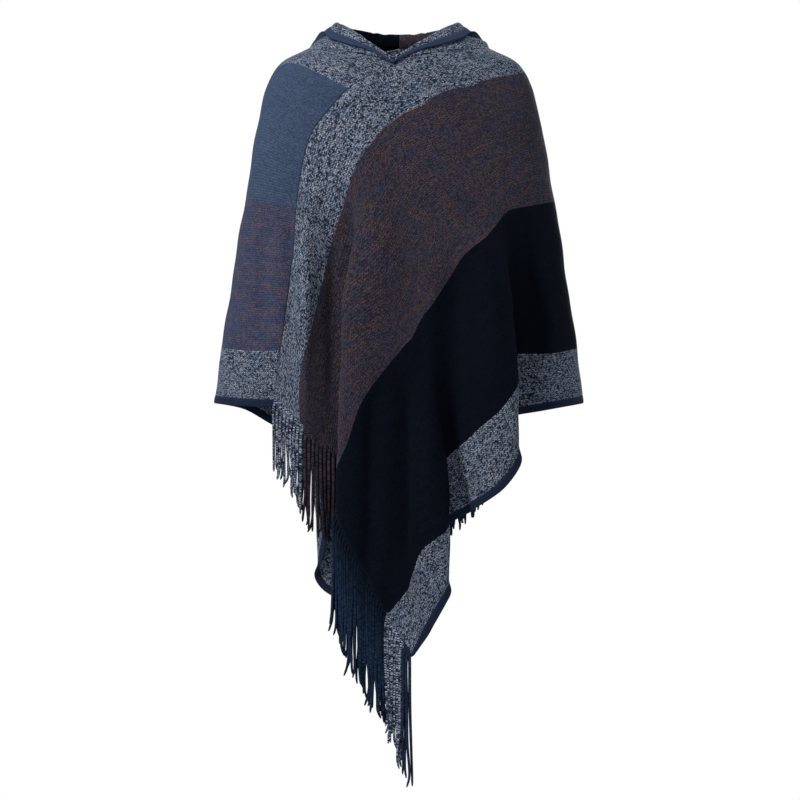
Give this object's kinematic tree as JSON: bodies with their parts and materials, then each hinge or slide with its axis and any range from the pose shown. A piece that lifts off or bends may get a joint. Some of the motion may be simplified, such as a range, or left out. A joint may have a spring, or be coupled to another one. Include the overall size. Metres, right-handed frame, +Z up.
{
  "type": "hooded knitted poncho",
  "caption": "Knitted wrap poncho with a V neck, a hood lying down behind it, fringed ends and two hanging points, open at neck, hem and sleeves.",
  "frame": {"origin": "between the wearer's shoulders, level with where the hood leaves the neck seam over the shoulders", "axes": "-Y is the front, +X is to the right as seen from the front, +Z is up"},
  "size_m": [0.556, 0.332, 1.1259],
  "materials": {
    "heather_knit": "matte",
    "navy_knit": "matte",
    "rust_knit": "matte",
    "rib_band": "matte"
  },
  "bodies": {
    "root": {"front_panel": "heather_knit", "front_fringe": "heather_knit", "front_hem_band": "rib_band", "back_panel": "navy_knit", "back_fringe": "navy_knit", "back_hem_band": "rib_band", "hood_left": "navy_knit", "hood_right": "rust_knit", "hood_band": "rib_band"}
  },
  "joints": []
}
